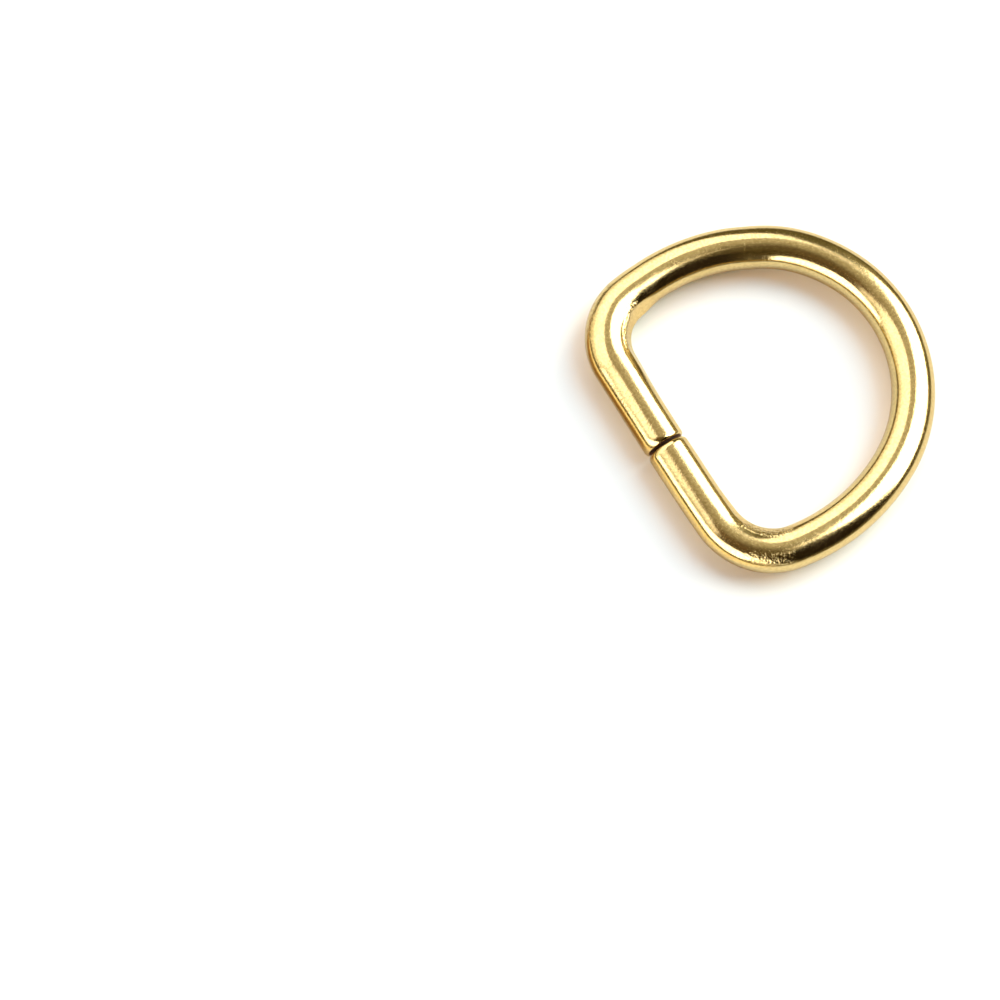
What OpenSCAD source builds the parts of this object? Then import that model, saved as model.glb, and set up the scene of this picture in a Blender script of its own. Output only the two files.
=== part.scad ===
// D ring: one bent round wire with its two ends butted in the middle of the straight bar.
// It lies flat: bar along X, bow towards +Y, floor at Z = 0. All lengths in millimetres.

/* [Main sizes] */
// Diameter of the round wire
wire_d = 4; // [3:0.1:5]
// Clear width inside, along the bar
inside_width = 24.6; // [20:0.1:30]
// Clear height inside, from the bar to the top of the bow
inside_height = 20; // [16:0.1:24]

/* [Corners and bow] */
// Inside radius of the corner on the -X side
left_corner_r = 3.2; // [2.5:0.1:5]
// Inside radius of the corner on the +X side
right_corner_r = 3.8; // [2.5:0.1:5]
// How far the wire turns over the tighter top of the bow, in degrees
crown_bend = 122; // [100:1:130]
// Radius of the top of the bow, as a share of half the ring's width. At 1 the bow is a half circle
crown_share = 0.96; // [0.9:0.01:1]

/* [Butted ends] */
// Open gap between the two wire ends
end_gap = 0.3; // [0.1:0.05:1]
// Radius that rounds the rim of each cut end
end_round = 0.4; // [0.1:0.05:0.8]
// How far each half of the bar leans outwards at the gap, in degrees
bar_lean = 0.5; // [0:0.1:1.5]

/* [Hidden] */
$fn = 96;

gold = [0.86, 0.69, 0.36];

// Sizes of the wire's centre line, measured from the middle of the bar
wire_r = wire_d / 2;
half_width = inside_width / 2 + wire_r;
height = inside_height + wire_d;

// The wire is very slightly thinner between the tight bends than in them, and each thinner
// length runs a short way into the bend beside it, so that the whole ring joins as one solid
slim = 0.02;
lap = 0.2;

// The bow: a crown arc at the top, then on each side a gentler arc that is tangent to it
crown_half = crown_bend / 2;
crown_r = crown_share * half_width;
crown_centre = [0, height - crown_r];
side_r = (half_width - crown_r * sin(crown_half)) / (1 - sin(crown_half));
side_centre = crown_centre + (crown_r - side_r) * [sin(crown_half), cos(crown_half)];

// A corner of centre line radius r turns the side into the bar. It is tangent to both
function corner_bend(r) = acos((side_centre.y - r) / (side_r - r));
function corner_centre(r) = [side_centre.x + (side_r - r) * sin(corner_bend(r)), r];

// Where half of the bar leaves its corner, and how long that half is
function bar_start(r) = corner_centre(r) + r * [sin(bar_lean), -cos(bar_lean)];
function bar_length(r) = (bar_start(r).x - end_gap / 2) / cos(bar_lean);

// The ring's lowest point in Y is on one wire end, where the rounding of its rim begins
function end_y(r) =
    bar_start(r).y - (bar_length(r) - end_round) * sin(bar_lean) - wire_r * cos(bar_lean);
low_y = min(end_y(left_corner_r + wire_r), end_y(right_corner_r + wire_r));
centre_y = (height + wire_r + low_y) / 2;

// A length of wire of radius w, bent to radius r about a centre, between two angles
module bent_wire(centre, r, from, to, w) {
    translate([centre.x, centre.y, 0])
        rotate([0, 0, from])
            rotate_extrude(angle = to - from, $fn = 192)
                translate([r, 0]) circle(r = w);
}

// The wire over the top of the bow
module crown() {
    color(gold) bent_wire(crown_centre, crown_r, 90 - crown_half, 90 + crown_half, wire_r);
}

// The gently bent side of the bow, from the crown down to the corner
module side(r) {
    more = lap / side_r * 180 / PI;
    color(gold)
        bent_wire(side_centre, side_r, corner_bend(r) - 90 - more, 90 - crown_half + more,
                  wire_r - slim);
}

// The tight corner between the side and the bar
module corner(r) {
    color(gold) bent_wire(corner_centre(r), r, bar_lean - 90, corner_bend(r) - 90, wire_r);
}

// Half of the straight bar, out to its cut end with the rounded rim
module bar_half(r) {
    w = wire_r - slim;
    length = bar_length(r);
    color(gold)
        translate([bar_start(r).x, bar_start(r).y, 0])
            rotate([0, 0, bar_lean])
                rotate([0, -90, 0])
                    rotate_extrude()
                        union() {
                            translate([0, -lap]) square([w, length - end_round + lap]);
                            square([w - end_round, length]);
                            translate([w - end_round, length - end_round])
                                circle(r = end_round);
                        }
}

// Everything on the +X side of the ring but the crown
module flank(inside_r) {
    r = inside_r + wire_r;
    side(r);
    corner(r);
    bar_half(r);
}

// The whole wire, moved so that the ring is centred over the origin and lies on the floor
module ring() {
    translate([0, -centre_y, wire_r]) {
        crown();
        flank(right_corner_r);
        mirror([1, 0, 0]) flank(left_corner_r);
    }
}

ring();
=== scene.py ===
"""A gold-coloured wire D ring lying flat in a bright photo studio.

The ring's own piece is one swept wire, built along the same arcs as the CAD ring, with the marks
that bending and cutting leave on real wire. The light is painted in the world, as sheets that the
metal reflects and as fields that light the table.
All lengths are in metres, in the CAD frame: bar along X, bow towards +Y, floor at Z = 0.
"""

import math

import bpy
import numpy as np
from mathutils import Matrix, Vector


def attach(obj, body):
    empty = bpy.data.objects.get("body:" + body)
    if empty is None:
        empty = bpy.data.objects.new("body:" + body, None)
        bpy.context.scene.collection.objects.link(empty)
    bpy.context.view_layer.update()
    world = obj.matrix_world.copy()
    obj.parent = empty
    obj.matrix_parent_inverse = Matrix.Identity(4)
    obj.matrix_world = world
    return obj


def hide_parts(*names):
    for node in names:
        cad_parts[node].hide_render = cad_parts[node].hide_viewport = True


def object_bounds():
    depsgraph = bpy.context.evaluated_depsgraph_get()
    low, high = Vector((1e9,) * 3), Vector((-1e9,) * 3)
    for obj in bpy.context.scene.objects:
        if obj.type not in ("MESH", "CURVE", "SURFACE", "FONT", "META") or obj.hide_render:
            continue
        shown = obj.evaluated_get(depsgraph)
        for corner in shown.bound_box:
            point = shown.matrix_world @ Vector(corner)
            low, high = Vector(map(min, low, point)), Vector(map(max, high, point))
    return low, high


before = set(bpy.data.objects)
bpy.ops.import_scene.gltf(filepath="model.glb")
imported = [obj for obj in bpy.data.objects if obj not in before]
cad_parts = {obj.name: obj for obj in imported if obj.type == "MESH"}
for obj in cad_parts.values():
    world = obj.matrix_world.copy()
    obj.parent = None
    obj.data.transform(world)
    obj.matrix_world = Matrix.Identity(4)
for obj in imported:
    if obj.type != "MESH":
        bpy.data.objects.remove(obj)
cad_low, cad_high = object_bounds()

MM = 0.001

# The ring's driving sizes, as the CAD source has them. The box of the CAD ring gives the radius
# of the wire, the width of the ring and the top of its bow
WIRE_R = (cad_high.z - cad_low.z) / 2
HALF_WIDTH = (cad_high.x - cad_low.x) / 2 - WIRE_R
TOP_OF_BOW = cad_high.y - WIRE_R
HEIGHT = 24.0 * MM
LEFT_CORNER_R = 3.2 * MM + WIRE_R
RIGHT_CORNER_R = 3.8 * MM + WIRE_R
CROWN_HALF = math.radians(61)
CROWN_SHARE = 0.96
BAR_LEAN = math.radians(0.5)
END_GAP = 0.3 * MM

# The photograph's view: the camera's bearing and height round the ring, how far away it is, where
# on the floor it aims, in the ring's frame, and how much the photograph spans at that distance
VIEW_AZIMUTH = math.radians(58.49)
VIEW_ELEVATION = math.radians(75.24)
VIEW_DISTANCE = 300 * MM
VIEW_AIM = (-3.99 * MM, -27.17 * MM, 0.0)
PHOTO_SPAN = 90.64 * MM
SENSOR_WIDTH = 36.0
NEAREST_SEEN = 0.01
FURTHEST_SEEN = 50.0

# Directions in the photograph's own terms: away from the camera and right, both laid on the
# floor, and up
AWAY = np.array([-math.sin(VIEW_AZIMUTH), math.cos(VIEW_AZIMUTH), 0.0])
RIGHT = np.array([math.cos(VIEW_AZIMUTH), math.sin(VIEW_AZIMUTH), 0.0])
UP = (0.0, 0.0, 1.0)


def make_camera():
    data = bpy.data.cameras.new("camera")
    camera = bpy.data.objects.new("camera", data)
    bpy.context.scene.collection.objects.link(camera)
    back = np.array([
        math.sin(VIEW_AZIMUTH) * math.cos(VIEW_ELEVATION),
        -math.cos(VIEW_AZIMUTH) * math.cos(VIEW_ELEVATION),
        math.sin(VIEW_ELEVATION),
    ])
    camera.location = np.array(VIEW_AIM) + VIEW_DISTANCE * back
    camera.rotation_euler = Vector(-back).to_track_quat("-Z", "Y").to_euler()
    data.sensor_width = SENSOR_WIDTH
    data.lens = data.sensor_width * VIEW_DISTANCE / PHOTO_SPAN
    data.clip_start = NEAREST_SEEN
    data.clip_end = FURTHEST_SEEN
    bpy.context.scene.camera = camera


class Nodes:
    """Adds nodes to a tree with short calls, and joins what they are given."""

    # The colour sockets of a mix node, which has others of the same names
    MIX_A = 6
    MIX_B = 7
    MIX_RESULT = 2

    def __init__(self, tree):
        self.tree = tree
        tree.nodes.clear()

    def add(self, kind, **settings):
        node = self.tree.nodes.new(kind)
        for name, value in settings.items():
            setattr(node, name, value)
        return node

    def put(self, socket, value):
        if isinstance(value, bpy.types.NodeSocket):
            self.tree.links.new(value, socket)
        else:
            socket.default_value = value

    def pair(self, kind, operation, a, b):
        """A node of two inputs. Its operation says what becomes of them."""
        node = self.add(kind, operation=operation)
        self.put(node.inputs[0], a)
        self.put(node.inputs[1], b)
        return node.outputs

    def math(self, operation, a, b):
        return self.pair("ShaderNodeMath", operation, a, b)[0]

    def dot(self, a, b):
        return self.pair("ShaderNodeVectorMath", "DOT_PRODUCT", a, b)["Value"]

    def sum(self, a, b):
        return self.pair("ShaderNodeVectorMath", "ADD", a, b)[0]

    def stretched(self, vector, factors):
        return self.pair("ShaderNodeVectorMath", "MULTIPLY", vector, factors)[0]

    def scaled(self, colour, strength):
        node = self.add("ShaderNodeVectorMath", operation="SCALE")
        self.put(node.inputs[0], colour)
        self.put(node.inputs["Scale"], strength)
        return node.outputs[0]

    def step(self, value, start, end, low=0.0, high=1.0):
        """Goes smoothly from low to high as value goes from start to end."""
        node = self.add("ShaderNodeMapRange", interpolation_type="SMOOTHSTEP")
        for name, given in (("Value", value), ("From Min", start), ("From Max", end),
                            ("To Min", low), ("To Max", high)):
            self.put(node.inputs[name], given)
        return node.outputs["Result"]

    def mix(self, share, a, b):
        """The colour a where share is 0, and b where it is 1."""
        node = self.add("ShaderNodeMix", data_type="RGBA")
        self.put(node.inputs[0], share)
        for index, colour in ((self.MIX_A, a), (self.MIX_B, b)):
            self.put(node.inputs[index], (*colour, 1.0) if isinstance(colour, tuple) else colour)
        return node.outputs[self.MIX_RESULT]

    def noise(self, vector, scale, detail=2.0, roughness=0.5):
        node = self.add("ShaderNodeTexNoise")
        self.put(node.inputs["Vector"], vector)
        self.put(node.inputs["Scale"], scale)
        self.put(node.inputs["Detail"], detail)
        self.put(node.inputs["Roughness"], roughness)
        return node.outputs["Fac"]


# The studio round the ring, as directions (bearing, zenith angle) in degrees. Bearings turn
# clockwise from AWAY and zenith angles are from straight up. These sheets are what the polished
# metal reflects. Each is flat and far away, and is given by its corners in turn. A later sheet
# hangs in front of an earlier one, and "low" is its colour near the horizon
SHEETS = (
    # Black card in front on the right
    {"corners": ((118, 36), (114, 99), (168, 99), (165, 44), (140, 32)),
     "softness": 10.0, "colour": (0.018, 0.011, 0.004)},
    # Glow between the two big softboxes
    {"corners": ((8, 30), (30, 24), (38, 36), (28, 48), (14, 44)),
     "softness": 7.0, "colour": (0.74, 0.66, 0.56)},
    # Tan screen at the left edge of the back softbox
    {"corners": ((-124, 60), (-122, 38), (-106, 30), (-94, 31), (-96, 84), (-113, 84)),
     "softness": 6.0, "colour": (1.12, 1.05, 0.96), "low": (0.80, 0.64, 0.40)},
    # Back softbox, as two overlapping sheets
    {"corners": ((-100, 91), (-107, 52), (-103.5, 35), (-89, 23), (-36, 25.5), (-24, 60),
                 (-28, 91)),
     "softness": 2.5, "colour": (1.86, 1.80, 1.74), "low": (1.05, 0.95, 0.72)},
    {"corners": ((-55, 91), (-62, 45), (-46, 27.5), (5, 29.5), (19, 38), (8, 56), (-12, 80),
                 (-24, 91)),
     "softness": 3.5, "colour": (1.92, 1.86, 1.82), "low": (1.08, 1.00, 0.80)},
    # Shade at the low left of the back softbox
    {"corners": ((-105, 97), (-106.5, 56), (-110, 50), (-122, 54), (-126, 97)),
     "softness": 4.0, "colour": (0.64, 0.56, 0.44)},
    # Softbox on the right
    {"corners": ((50, 79), (43, 74), (34, 62), (33, 48), (36, 30), (38, 25), (43, 19.5), (54, 17),
                 (84, 16), (110, 19.5), (124, 28), (121, 43), (110, 80)),
     "softness": 3.0, "colour": (4.20, 4.10, 4.00)},
    # Thin light strip at the near top corner of that softbox
    {"corners": ((112, 19), (124, 27), (133, 24), (141, 15), (139, 12)),
     "softness": 4.0, "colour": (0.75, 0.68, 0.55)},
    # Softbox in front on the left, low down
    {"corners": ((-181, 89), (-180, 66), (-165, 59), (-146, 55), (-125, 59), (-107.5, 68),
                 (-107.5, 86), (-130, 88), (-150, 90)),
     "softness": 2.0, "colour": (3.30, 3.20, 3.05)},
)

# The plain studio behind the sheets, overhead and near the horizon: its colour on the camera's
# side and on the far side. "turn" is how far a direction points away from the camera, as a share
# of its length, where the first begins to turn into the second and where it has
OVERHEAD = {"near": (0.115, 0.09, 0.045), "far": (0.49, 0.43, 0.31), "turn": (-0.28, 0.30)}
HORIZON = {"near": (0.075, 0.055, 0.022), "far": (0.12, 0.10, 0.035), "turn": (-0.20, 0.30)}
# How far a direction points up, as a share of its length, where the horizon turns into the
# overhead, and where a sheet's low colour turns into its own
OVERHEAD_RISES = (0.76, 0.92)
SHEET_RISES = (0.08, 0.55)
BACKDROP = (1.0, 1.0, 1.0)

# The light that falls on the table, as broad soft fields: bearings from and to, zenith angles
# from and to, and colour. The metal doesn't reflect them
FIELDS = (
    ((-30, 30), (22, 50), (4.15, 4.10, 3.98)),
    ((30, 90), (22, 50), (4.22, 6.40, 7.65)),
    ((30, 90), (50, 80), (9.45, 8.50, 6.20)),
    ((-150, -90), (22, 50), (4.15, 1.45, 0.32)),
    ((-90, -30), (22, 50), (1.75, 1.78, 1.73)),
    ((-150, -90), (50, 80), (0.80, 2.20, 2.55)),
)
FIELD_SOFTNESS = 5.0
NO_LIGHT = (0.0, 0.0, 0.0)

# How bright the studio and the table are in a reflection of a reflection. A ray's glossy depth is
# 1 in a reflection and 2 in a reflection of one
SECOND_SIGHT = 0.35
SEEN_TWICE = 1.5

# The table. It is white, but the metal reflects it in the other colours here: painted shade,
# darker near the ring and nearly black further off, a painted shadow beside the bar, brown on its
# left half, and beyond that an orange painted reflection. The brown and the orange partly stand in
# for a ring that lay there
TABLE_REACH = 20.0
TABLE_WHITE = (0.80, 0.80, 0.80)
TABLE_ROUGHNESS = 0.9
NEAR_TABLE_PAINTED_SHADE = (0.59, 0.57, 0.54)
PAINTED_SHADOW_LEFT_HALF = (0.26, 0.14, 0.045)
PAINTED_SHADE_RIGHT_HALF = (0.74, 0.65, 0.52)
PAINTED_REFLECTION_BEYOND = (0.88, 0.72, 0.44)
DISTANT_TABLE_PAINTED_SHADE = (0.08, 0.065, 0.035)
# Where each of those painted shades begins and is full: in X from the left half to the right half,
# in Y beside the bar and beyond that, and by the length of the ray that the metal sends out
HALVES_MEET = (-3 * MM, 3 * MM)
BESIDE_BEGINS = (-14.3 * MM, -16.3 * MM)
BEYOND_BEGINS = (-19 * MM, -22 * MM)
DISTANT_BEGINS = (11 * MM, 20 * MM)
# A ray's diffuse depth is 0 until it has left a dull surface
LEFT_DULL_SURFACE = 0.5


def direction_of(bearing, zenith):
    b = math.radians(bearing)
    z = math.radians(zenith)
    level = AWAY * math.cos(b) + RIGHT * math.sin(b)
    return level * math.sin(z) + np.array([0.0, 0.0, math.cos(z)])


def half_blur(softness):
    """Half the width of an edge that blurs over `softness` degrees, as a share of a direction."""
    return math.sin(math.radians(softness)) / 2


def sheet_mask(n, direction, corners, softness):
    """One inside the sheet, zero outside, with edges that blur over `softness` degrees."""
    mask = None
    blur = half_blur(softness)
    middle = sum(direction_of(*corner) for corner in corners)
    for here, following in zip(corners, corners[1:] + corners[:1]):
        edge = np.cross(direction_of(*following), direction_of(*here))
        edge *= np.sign(edge @ middle) / np.linalg.norm(edge)
        inside = n.step(n.dot(direction, tuple(edge)), -blur, blur)
        mask = inside if mask is None else n.math("MULTIPLY", mask, inside)
    return mask


def field_mask(n, direction, bearings, zeniths):
    """One inside a block of sky between two bearings and two zenith angles."""
    blur = half_blur(FIELD_SOFTNESS)
    mask = 1.0
    for bearing, sign in zip(bearings, (1, -1)):
        b = math.radians(bearing)
        clockwise = sign * (RIGHT * math.cos(b) - AWAY * math.sin(b))
        mask = n.math("MULTIPLY", mask, n.step(n.dot(direction, tuple(clockwise)), -blur, blur))
    up = n.dot(direction, UP)
    high, low = (math.cos(math.radians(zenith)) for zenith in zeniths)
    mask = n.math("MULTIPLY", mask, n.step(up, low - blur, low + blur))
    return n.math("MULTIPLY", mask, n.step(up, high + blur, high - blur))


def dimmed_again(n, ray, colour):
    """The colour, dimmed where it is seen in a reflection of a reflection."""
    again = n.math("GREATER_THAN", ray["Glossy Depth"], SEEN_TWICE)
    return n.scaled(colour, n.step(again, 0.0, 1.0, 1.0, SECOND_SIGHT))


def make_world():
    """A soft studio. What the metal reflects and what lights the table are set apart, and a low
    camera sees a plain pale backdrop."""
    world = bpy.data.worlds.new("studio")
    bpy.context.scene.world = world
    world.use_nodes = True
    n = Nodes(world.node_tree)
    direction = n.add("ShaderNodeTexCoord").outputs["Generated"]
    up = n.dot(direction, UP)
    away = n.dot(direction, tuple(AWAY))

    overhead, horizon = (n.mix(n.step(away, *part["turn"]), part["near"], part["far"])
                         for part in (OVERHEAD, HORIZON))
    seen = n.mix(n.step(up, *OVERHEAD_RISES), horizon, overhead)
    for sheet in SHEETS:
        colour = sheet["colour"]
        if "low" in sheet:
            colour = n.mix(n.step(up, *SHEET_RISES), sheet["low"], colour)
        seen = n.mix(sheet_mask(n, direction, sheet["corners"], sheet["softness"]), seen, colour)

    cast = NO_LIGHT
    for bearings, zeniths, colour in FIELDS:
        cast = n.sum(cast, n.scaled(colour, field_mask(n, direction, bearings, zeniths)))

    ray = n.add("ShaderNodeLightPath").outputs
    light = n.mix(ray["Is Glossy Ray"], cast, dimmed_again(n, ray, seen))
    light = n.mix(ray["Is Camera Ray"], light, BACKDROP)
    background = n.add("ShaderNodeBackground")
    n.put(background.inputs["Color"], light)
    output = n.add("ShaderNodeOutputWorld")
    n.put(output.inputs["Surface"], background.outputs[0])


def table_material():
    """A white table. Only where the metal reflects it, and the light has not left a dull surface
    before, is it darker and coloured: painted shade, a painted shadow and a painted reflection,
    which draw the dark and brown lines low on the wire."""
    material = bpy.data.materials.new("white_table")
    material.use_nodes = True
    n = Nodes(material.node_tree)
    ray = n.add("ShaderNodeLightPath").outputs
    spot = n.add("ShaderNodeSeparateXYZ")
    n.put(spot.inputs[0], n.add("ShaderNodeNewGeometry").outputs["Position"])
    x = spot.outputs["X"]
    y = spot.outputs["Y"]
    # Painted shadow and shade beside the bar, a painted reflection beyond it, and painted shade
    # near the ring and far off
    beside = n.mix(n.step(x, *HALVES_MEET), PAINTED_SHADOW_LEFT_HALF, PAINTED_SHADE_RIGHT_HALF)
    beside = n.mix(n.step(y, *BEYOND_BEGINS), beside, PAINTED_REFLECTION_BEYOND)
    near = n.mix(n.step(y, *BESIDE_BEGINS), NEAR_TABLE_PAINTED_SHADE, beside)
    reflected = n.mix(n.step(ray["Ray Length"], *DISTANT_BEGINS), near, DISTANT_TABLE_PAINTED_SHADE)
    reflected = dimmed_again(n, ray, reflected)
    first_light = n.math("LESS_THAN", ray["Diffuse Depth"], LEFT_DULL_SURFACE)
    in_metal = n.math("MULTIPLY", ray["Is Glossy Ray"], first_light)
    shader = n.add("ShaderNodeBsdfPrincipled")
    n.put(shader.inputs["Base Color"], n.mix(in_metal, TABLE_WHITE, reflected))
    shader.inputs["Roughness"].default_value = TABLE_ROUGHNESS
    shader.inputs["Specular IOR Level"].default_value = 0.0
    output = n.add("ShaderNodeOutputMaterial")
    n.put(output.inputs["Surface"], shader.outputs[0])
    return material


def make_floor():
    reach = TABLE_REACH
    mesh = bpy.data.meshes.new("floor")
    corners = [(-reach, -reach, 0), (reach, -reach, 0), (reach, reach, 0), (-reach, reach, 0)]
    mesh.from_pydata(corners, [], [(0, 1, 2, 3)])
    floor = bpy.data.objects.new("floor", mesh)
    bpy.context.scene.collection.objects.link(floor)
    mesh.materials.append(table_material())


def centre_line():
    """The left and the right half of the wire's centre line. Each goes from the top of the bow to
    its cut end, as pieces of (length, curvature). A positive curvature turns the right half
    clockwise."""
    crown_r = CROWN_SHARE * HALF_WIDTH
    reach = math.sin(CROWN_HALF)
    crown_mid = np.array([0.0, TOP_OF_BOW - crown_r])
    side_r = (HALF_WIDTH - crown_r * reach) / (1 - reach)
    side_mid = crown_mid + (crown_r - side_r) * np.array([reach, math.cos(CROWN_HALF)])
    bar_y = TOP_OF_BOW - HEIGHT
    halves = []
    for corner_r in (LEFT_CORNER_R, RIGHT_CORNER_R):
        bend = math.acos((side_mid[1] - bar_y - corner_r) / (side_r - corner_r))
        corner_x = side_mid[0] + (side_r - corner_r) * math.sin(bend)
        bar = (corner_x + corner_r * math.sin(BAR_LEAN) - END_GAP / 2) / math.cos(BAR_LEAN)
        halves.append([
            (CROWN_HALF * crown_r, 1 / crown_r),
            ((math.pi - CROWN_HALF - bend) * side_r, 1 / side_r),
            ((bend - BAR_LEAN) * corner_r, 1 / corner_r),
            (bar, 0.0),
        ])
    return halves


# Less than this is no distance, but the rounding of a sum
ROUNDING = 1e-12


def walk(half, mirrored, at):
    """Points and headings at the distances `at` from the top of the bow, down one half. A distance
    beyond the half gives its cut end."""
    point = np.array([0.0, TOP_OF_BOW])
    heading = 0.0
    points = np.zeros((len(at), 2))
    headings = np.zeros((len(at), 2))
    start = 0.0
    for length, curve in half:
        inside = at >= start - ROUNDING
        s = np.minimum(at[inside] - start, length)
        h = heading - curve * s
        if curve:
            r = 1 / curve
            middle = point + r * np.array([math.sin(heading), -math.cos(heading)])
            points[inside] = middle + r * np.column_stack([-np.sin(h), np.cos(h)])
            end = heading - curve * length
            point = middle + r * np.array([-math.sin(end), math.cos(end)])
            heading = end
        else:
            points[inside] = point + np.outer(s, [math.cos(heading), math.sin(heading)])
            point = point + length * np.array([math.cos(heading), math.sin(heading)])
        headings[inside] = np.column_stack([np.cos(h), np.sin(h)])
        start += length
    if mirrored:
        points[:, 0] *= -1
        headings[:, 0] *= -1
    return points, headings


# The mesh: vertices round the wire, the distance between its rows on the plain wire and in the
# tight bends, and where along the wire, in mm, the rows are that close
AROUND = 126
COARSE = 0.15 * MM
FINE = 0.07 * MM
FINE_ALONG = (27.0, 34.0, 1.5)
# The last length before a cut end, its rows up to the rim, the rows of the rim's rounding, and
# the rings of vertices on the cut face, as shares of its radius
END_LENGTH = 1.6 * MM
END_ROWS = 9
RIM_ROWS = 15
CAP_SHARES = (0.85, 0.65, 0.45, 0.25, 0.1)
# How far round the rim, in radians, the plating begins to give way to cut metal, and where it has
PLATING_ENDS = (1.15, 1.5)
# The wire is this much thinner between the tight bends, as in the CAD source, and this is the
# length over which that comes and goes
SLIM = 0.02 * MM
SLIM_RAMP = 1 * MM
# In the bends the mesh stays this far inside the ideal wire, so that its soft waves don't pass
# the CAD box. All of the wire also stands in by the second distance, in mm, for the same reason
INSET = 0.012 * MM
STAND_IN = 0.003

# Places on the wire are windows of (start, end, rise) or (start, end, rise, fall). Along the wire
# they are in mm from the top of the bow, negative on the left. Round it they are in degrees from
# the outer side, over the top

# The crease in the left corner: its angle, how much further round it lies once it is full, how
# far it stands out there, as a share of the wire's radius, and where along the wire it grows
CREASE_ANGLE = 141
CREASE_TURN = 6
CREASE_RISE = 0.040
CREASE_GROWS = (-28.0, -31.0)
# The upper flat begins this far before the crease, and so much earlier where the crease is full
FLAT_LEAST = 2
FLAT_MORE = 17
# The lower flat ends at the widest place, and the bulge below it ends further down
WIDEST_ANGLE = 186
WIDEST_R = 1.15
BULGE_ENDS = 246
PRESSED_ALONG = (-34.5, -27.5, 6.5, 2.6)

# Where the bends are rough from the tools. The angles of the first place count from the crease
WORN_PLACES = (
    # A strip along the crease of the left corner, and scuffs on its outer side
    {"along": (-33.0, -28.0, 2.0, 0.8), "round": (-8, 3, 5), "strength": 1.0, "creased": True},
    {"along": (-31.5, -28.6, 1.5), "round": (24, 36, 8), "strength": 0.55, "creased": False},
    # Wrinkles on the inner side of the right corner, and a scuffed patch on its outer side
    {"along": (27.6, 32.3, 1.2), "round": (122, 152, 6, 10), "strength": 1.0, "creased": False},
    {"along": (28.2, 30.6, 1.0, 1.2), "round": (42, 64, 6, 10), "strength": 0.75,
     "creased": False},
)

# Unevenness of the surface, as (seed, height, wavelength along the wire, wavelength round it), in
# mm: the long soft waves of drawn wire, and the marks of the tools in the worn places
SOFT_WAVES = ((1, 0.0028, 11.0, 6.0), (2, 0.0010, 4.0, 2.4))
TOOL_MARKS = ((3, 0.0085, 0.50, 0.42), (4, 0.0065, 0.30, 0.27))

# How far, in mm, the right corner's inner side stands out into the opening, and where
FULLNESS = 0.10
FULL_ROUND = (168, 196, 28, 50)
FULL_ALONG = (30.5, 34.0, 3.5, 4.0)

# Moves in mm, each over a window along the wire: of the section's crest towards the inside of the
# bend, and of the whole wire outwards
CREST_MOVES = ((0.10, (8.0, 24.0, 6.0)), (0.08, (-36.0, -32.5, 4.0)))
WIRE_MOVES = (
    (-0.12, (-25.0, -16.0, 3.0, 5.0)),
    (-0.06, (-14.0, -8.5, 4.0, 5.0)),
    (0.024, (38.0, 39.0, 3.5)),
    (-0.04, (33.0, 34.0, 3.5)),
)

# The rounded rims of the cut ends. Each value is (least, more, angle, width): so much all round,
# in mm, and so much more about one angle, over a width, in degrees. A rim is rounded over a
# length along the wire and to a depth across it
LEFT_RIM = {"length": (0.34, 0.80, 32, 40), "depth": (0.32, 0.14, 32, 46)}
RIGHT_RIM = {"length": (0.46, 0.16, 20, 60), "depth": (0.36, 0.08, 20, 60)}
# How far the rounding is laid out beyond the cut end. The wire stops there all the same, so the
# last of the rounding is flattened onto the cut face, and the gap stays as wide as it was
RIM_OVERRUN = (0.05, 0.07, -30, 75)


def smooth(x, start, end):
    """Goes from 0 at start to 1 at end, and is flat at both."""
    t = np.clip((x - start) / (end - start), 0, 1)
    return t * t * (3 - 2 * t)


def window(x, start, end, rise, fall=None):
    """One between start and end, with smooth slopes outside them."""
    return smooth(x, start - rise, start) * smooth(x, end + (fall or rise), end)


def turned(phi, middle, width):
    """A smooth bump round the wire, about the angle `middle`. The last two are in degrees."""
    away_by = (np.degrees(phi) - middle + 180) % 360 - 180
    return np.exp(-(away_by / width) ** 2)


class Grain:
    """Smooth noise over the wire's surface from a fixed seed: a sum of waves of random heading,
    about the wavelengths `along` and `around`."""

    WAVES = 60
    # The least and most of a wave's pitch, as multiples of the given one
    PITCHES = (0.55, 1.6)

    def __init__(self, seed, along, around):
        rng = np.random.default_rng(seed)
        heading = rng.uniform(0, 2 * math.pi, self.WAVES)
        pitch = rng.uniform(*self.PITCHES, self.WAVES)
        self.k_along = 2 * math.pi / along * pitch * np.cos(heading)
        self.k_around = np.round(2 * math.pi * WIRE_R / around * pitch * np.sin(heading))
        self.phase = rng.uniform(0, 2 * math.pi, self.WAVES)
        self.gain = math.sqrt(2 / self.WAVES)

    def at(self, s, phi):
        total = np.zeros(np.broadcast(s, phi).shape)
        for ks, kp, phase in zip(self.k_along, self.k_around, self.phase):
            total += np.sin(ks * s + kp * phi + phase)
        return total * self.gain


def crease(s):
    """The angle round the wire, in degrees, of the crease that runs through the left corner."""
    return CREASE_ANGLE + CREASE_TURN * smooth(s / MM, *CREASE_GROWS)


def chord(angle, first, first_r, last, last_r):
    """Distance from the middle to the straight line between two points, at an angle between."""
    angle = np.clip(angle, first, last)
    a = np.radians(angle - first)
    b = np.radians(last - angle)
    span = np.sin(np.radians(last - first))
    return first_r * last_r * span / (first_r * np.sin(a) + last_r * np.sin(b))


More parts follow.
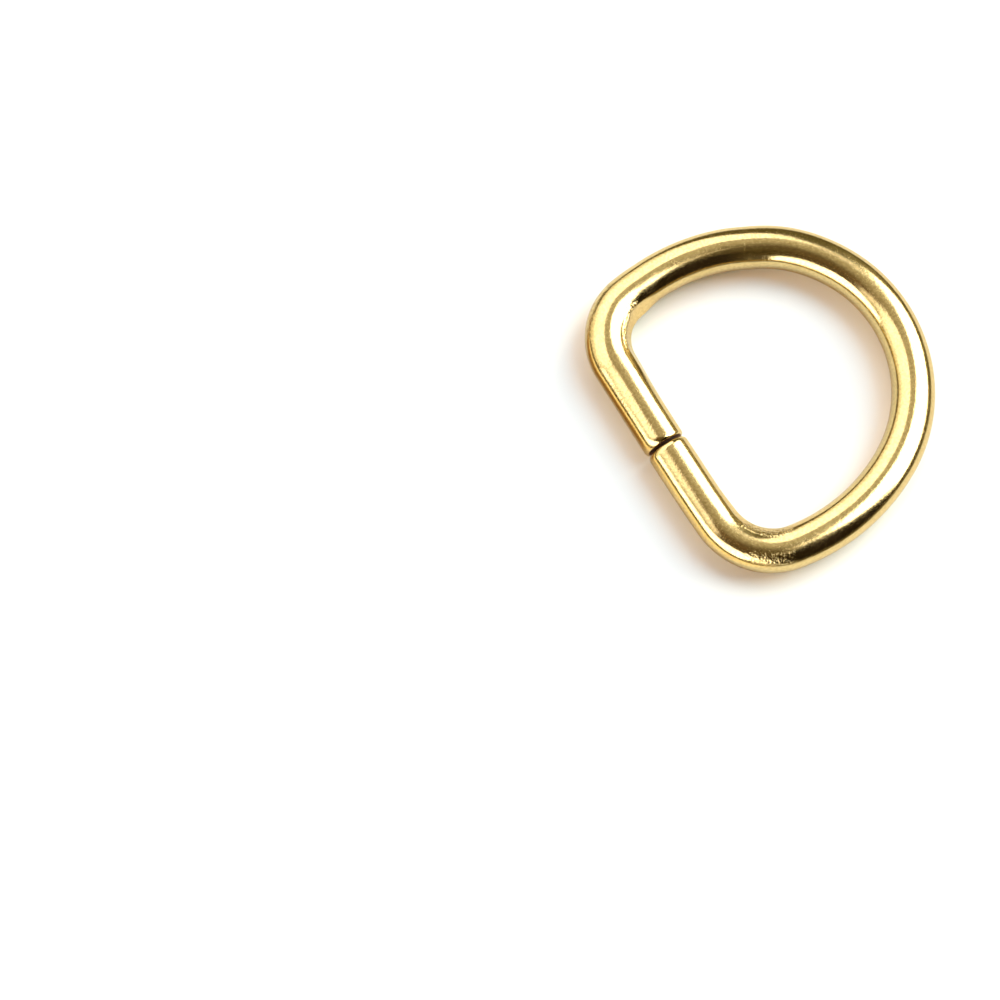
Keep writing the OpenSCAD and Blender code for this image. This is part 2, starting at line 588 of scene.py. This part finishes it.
def pressed(s, phi):
    """How far the left corner's inner side stands out from the round wire. The former pressed
    two flats there that meet in the crease, and pushed the metal out at the widest place."""
    degrees = np.degrees(phi)
    along = smooth(s / MM, *CREASE_GROWS)
    fold = crease(s)
    fold_r = 1 + CREASE_RISE * along
    start = fold - FLAT_LEAST - FLAT_MORE * along
    upper = chord(degrees, start, 1.0, fold, fold_r) - 1
    lower = chord(degrees, fold, fold_r, WIDEST_ANGLE, WIDEST_R) - 1
    under = (WIDEST_R - 1) * (1 - smooth(degrees, WIDEST_ANGLE, BULGE_ENDS))
    shape = np.where(degrees < fold, upper, np.where(degrees < WIDEST_ANGLE, lower, under))
    shape = np.where(degrees < start, 0.0, shape)
    return WIRE_R * shape * window(s / MM, *PRESSED_ALONG)


def worn(s, phi):
    """Where the bends are rough from the tools, from 0 to 1. s is the distance along the wire
    from the top of the bow, negative on the left, and phi is the angle round it from the outer
    side, over the top."""
    degrees = np.degrees(phi)
    total = 0.0
    for place in WORN_PLACES:
        angle = degrees - crease(s) if place["creased"] else degrees
        along = place["strength"] * window(s / MM, *place["along"])
        total = total + along * window(angle, *place["round"])
    return np.clip(total, 0, 1)


def relief(s, phi):
    """How far the waves and the tool marks stand out from the even surface, in metres."""
    out = 0.0
    for seed, height, along, around in SOFT_WAVES:
        out = out + height * MM * Grain(seed, along * MM, around * MM).at(s, phi)
    rough = worn(s, phi)
    for seed, height, along, around in TOOL_MARKS:
        out = out + height * MM * rough * Grain(seed, along * MM, around * MM).at(s, phi)
    return out


def fullness(s, phi):
    """How far the right corner's inner side stands out into the opening."""
    round_it = window(np.degrees(phi), *FULL_ROUND)
    return MM * FULLNESS * round_it * window(s / MM, *FULL_ALONG)


def moved(s, moves, everywhere=0.0):
    """The sum of some moves at s, in metres, with one more that is the same everywhere."""
    total = everywhere
    for distance, place in moves:
        total = total + distance * window(s / MM, *place)
    return MM * total


def round_rim(phi, least, more, middle, width):
    """A measure of a rim that changes round the wire."""
    return MM * (least + more * turned(phi, middle, width))


def rows_along(total):
    """Distances from the top of the bow to near the cut end, closer together in the tight bend."""
    at = [0.0]
    while at[-1] < total - END_LENGTH:
        fine = window(at[-1] / MM, *FINE_ALONG)
        at.append(at[-1] + COARSE + (FINE - COARSE) * fine)
    return np.array(at)


def lay_out(phi, total, rim):
    """The rows of one half: how far along the wire each vertex lies, how much the rim takes off
    its radius, and how far it belongs to the cut face, from 0 to 1."""
    length = round_rim(phi, *rim["length"])
    depth = round_rim(phi, *rim["depth"])
    face = total + round_rim(phi, *RIM_OVERRUN)
    body = rows_along(total)
    uncut = np.zeros(AROUND)
    rows = [(np.full(AROUND, s), uncut, 0.0) for s in body]
    for share in np.linspace(0, 1, END_ROWS + 1)[1:]:
        rows.append((body[-1] + share * (face - length - body[-1]), uncut, 0.0))
    for t in np.linspace(0, math.pi / 2, RIM_ROWS + 1)[1:]:
        rounded = depth * (1 - math.cos(t))
        rows.append((face - length * (1 - math.sin(t)), rounded, float(smooth(t, *PLATING_ENDS))))
    for share in CAP_SHARES:
        rows.append((face, WIRE_R - (WIRE_R - depth) * share, 1.0))
    at, shrink, cut = (np.array(column) for column in zip(*rows))
    return at, shrink, np.repeat(cut[:, None], AROUND, axis=1)


def make_half(half, mirrored, phi):
    """The vertices of one half of the wire, in rows from the top of the bow to the cut end."""
    total = sum(length for length, _ in half)
    bends = np.cumsum([0.0] + [length for length, _ in half])
    at, shrink, cut = lay_out(phi, total, LEFT_RIM if mirrored else RIGHT_RIM)
    s = -at if mirrored else at
    slim = np.maximum(window(at, bends[1] + SLIM_RAMP, bends[2] - SLIM_RAMP, SLIM_RAMP),
                      window(at, bends[3] + SLIM_RAMP, 2 * total, SLIM_RAMP))
    full_size = np.clip((WIRE_R - shrink) / WIRE_R, 0, 1)
    radius = WIRE_R - SLIM * slim - INSET * (1 - slim) - shrink
    radius += (relief(s, phi) + pressed(s, phi)) * full_size
    outwards = moved(s, WIRE_MOVES, -STAND_IN)
    outwards = outwards - moved(s, CREST_MOVES) * np.sin(phi) ** 2 - fullness(s, phi)
    offset = radius * np.cos(phi) + outwards * full_size
    points, headings = walk(half, mirrored, at.ravel())
    points = points.reshape(*at.shape, 2)
    headings = headings.reshape(*at.shape, 2) * (-1 if mirrored else 1)
    sideways = np.stack([-headings[..., 1], headings[..., 0]], axis=-1)
    height = WIRE_R + radius * np.sin(phi)
    place = np.concatenate([points + offset[..., None] * sideways, height[..., None]], axis=-1)
    return place, s, cut


def make_ring_mesh():
    """The whole wire: two halves that share their row at the top of the bow, and a flat face in
    the middle of each cut end."""
    phi = np.linspace(-math.pi / 2, 1.5 * math.pi, AROUND, endpoint=False)
    left_line, right_line = centre_line()
    halves = (make_half(left_line, True, phi), make_half(right_line, False, phi))
    place, along, cut = (np.concatenate([left[::-1], right[1:]]) for left, right in zip(*halves))
    rows = len(place)
    i = np.arange(rows - 1)[:, None] * AROUND
    j = np.arange(AROUND)[None, :]
    k = (j + 1) % AROUND
    quads = np.stack([i + j, i + k, i + AROUND + k, i + AROUND + j], axis=-1).reshape(-1, 4)
    first = [tuple(range(AROUND - 1, -1, -1))]
    last = [tuple(range((rows - 1) * AROUND, rows * AROUND))]
    mesh = bpy.data.meshes.new("wire_ring")
    mesh.from_pydata(place.reshape(-1, 3).tolist(), [], quads.tolist() + first + last)

    # The place on the wire, as a map in metres: along it, and round it from the underside
    where = mesh.uv_layers.new(name="wire")
    loops = np.zeros(len(mesh.loops), dtype=np.int32)
    mesh.loops.foreach_get("vertex_index", loops)
    row = loops // AROUND
    col = loops % AROUND
    share = col / AROUND
    starts = np.zeros(len(mesh.polygons), dtype=np.int32)
    mesh.polygons.foreach_get("loop_start", starts)
    for start in starts[:len(quads)][(quads[:, 1] % AROUND) == 0]:
        for corner in (1, 2):
            share[start + corner] = 1.0
    uv = np.column_stack([along[row, col], share * 2 * math.pi * WIRE_R])
    where.data.foreach_set("uv", uv.ravel())

    # What the material needs to know of each vertex
    for name, values in (("cut_face", cut), ("worn", worn(along, phi[None, :]))):
        layer = mesh.attributes.new(name, "FLOAT", "POINT")
        layer.data.foreach_set("value", values.astype(np.float32).ravel())
    mesh.update()
    mesh.polygons.foreach_set("use_smooth", [True] * len(mesh.polygons))
    return mesh


# The gold's colours: two that the plating wavers between, and those that the grain, the specks,
# the pits and the bare cut faces turn it towards, with the most that the first three do so. The
# cut faces' dark brown is partly bare metal and partly painted shade in the gap between the ends
BRIGHT_GOLD = (0.94, 0.74, 0.35)
WARM_GOLD = (0.90, 0.70, 0.32)
GRAIN_GOLD = (0.62, 0.46, 0.18)
SPECK_BROWN = (0.55, 0.36, 0.13)
PIT_BROWN = (0.40, 0.28, 0.11)
CUT_BROWN_AND_GAP_SHADE = (0.26, 0.105, 0.05)
GRAIN_SHARE = 0.42
SPECK_SHARE = 0.30
PIT_SHARE = 0.8

# How fine each kind of noise is, per mm. The hairlines have one value along the wire and one
# round it
GRAIN_SCALE = 4.2
HAIRLINE_SCALES = (0.45, 9.0)
PATCH_SCALE = 0.45
SPECK_SCALE = 8.0
PIT_SCALE = 4.6
RUBBLE_SCALE = 5.0

# The values of a noise where what it drives begins, and where it is full
GRAIN_SHOWS = (0.58, 0.42)
SPECK_SHOWS = (0.62, 0.70)
PIT_SHOWS = (0.56, 0.66)
PATCH_TONE = (0.35, 0.65)
PATCH_FINISH = (0.3, 0.7)

# Roughness of the plating in one patch and another, what wear adds, and that of the cut faces
PATCH_ROUGHNESS = (0.11, 0.15)
WORN_ROUGHNESS = 0.05
CUT_ROUGHNESS = 0.50

# Heights of the fine relief, in units of the bump's distance
BUMP_DISTANCE = 0.0080 * MM
GRAIN_HEIGHTS = (0.7, 1.0)
HAIRLINE_HEIGHT = 0.15
SPECK_DEPTH = 0.20
PIT_DEPTH = 2.4
RUBBLE_HEIGHT = 7.0


def gold():
    """Bright gold plating over drawn wire: fine grain and hairlines that catch the light, slightly
    uneven colour, rougher where the bends are worn, and dark dull metal on the cut faces, whose
    dark brown is partly bare metal and partly painted shade in the gap between the ends."""
    material = bpy.data.materials.new("polished_gold")
    material.use_nodes = True
    n = Nodes(material.node_tree)
    in_mm = n.scaled(n.add("ShaderNodeTexCoord").outputs["Object"], 1 / MM)
    on_wire = n.add("ShaderNodeUVMap", uv_map="wire").outputs["UV"]
    lines = n.stretched(on_wire, (*(scale / MM for scale in HAIRLINE_SCALES), 1.0))
    worn_here = n.add("ShaderNodeAttribute", attribute_name="worn").outputs["Fac"]
    cut_here = n.add("ShaderNodeAttribute", attribute_name="cut_face").outputs["Fac"]

    grain = n.noise(in_mm, GRAIN_SCALE, detail=2.5, roughness=0.6)
    hairlines = n.noise(lines, 1.0)
    patches = n.noise(in_mm, PATCH_SCALE)
    specks = n.step(n.noise(in_mm, SPECK_SCALE, detail=1.0), *SPECK_SHOWS)
    pits = n.step(n.noise(in_mm, PIT_SCALE, detail=1.5), *PIT_SHOWS)
    pits = n.math("MULTIPLY", pits, worn_here)

    tone = n.mix(n.step(patches, *PATCH_TONE), BRIGHT_GOLD, WARM_GOLD)
    tone = n.mix(n.step(grain, *GRAIN_SHOWS, 0.0, GRAIN_SHARE), tone, GRAIN_GOLD)
    tone = n.mix(n.math("MULTIPLY", specks, SPECK_SHARE), tone, SPECK_BROWN)
    tone = n.mix(n.math("MULTIPLY", pits, PIT_SHARE), tone, PIT_BROWN)
    # The cut faces: bare metal, and painted shade in the narrow gap between the ends
    tone = n.mix(cut_here, tone, CUT_BROWN_AND_GAP_SHADE)

    rough = n.step(patches, *PATCH_FINISH, *PATCH_ROUGHNESS)
    rough = n.math("ADD", rough, n.math("MULTIPLY", worn_here, WORN_ROUGHNESS))
    rough = n.math("MAXIMUM", rough, n.math("MULTIPLY", cut_here, CUT_ROUGHNESS))

    rubble = n.math("MULTIPLY", n.noise(in_mm, RUBBLE_SCALE), worn_here)
    height = n.math("MULTIPLY", grain, n.step(patches, *PATCH_FINISH, *GRAIN_HEIGHTS))
    for operation, part, size in (("ADD", hairlines, HAIRLINE_HEIGHT),
                                  ("SUBTRACT", specks, SPECK_DEPTH),
                                  ("SUBTRACT", pits, PIT_DEPTH),
                                  ("ADD", rubble, RUBBLE_HEIGHT)):
        height = n.math(operation, height, n.math("MULTIPLY", part, size))
    bump = n.add("ShaderNodeBump")
    bump.inputs["Strength"].default_value = 1.0
    bump.inputs["Distance"].default_value = BUMP_DISTANCE
    n.put(bump.inputs["Height"], height)

    shader = n.add("ShaderNodeBsdfPrincipled")
    n.put(shader.inputs["Base Color"], tone)
    shader.inputs["Metallic"].default_value = 1.0
    n.put(shader.inputs["Roughness"], rough)
    n.put(shader.inputs["Normal"], bump.outputs["Normal"])
    output = n.add("ShaderNodeOutputMaterial")
    n.put(output.inputs["Surface"], shader.outputs[0])
    return material


make_camera()
make_world()
make_floor()
ring = bpy.data.objects.new("wire_ring", make_ring_mesh())
bpy.context.scene.collection.objects.link(ring)
ring.data.materials.append(gold())
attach(ring, "root")
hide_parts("ring")

bpy.context.scene.view_settings.view_transform = "Standard"
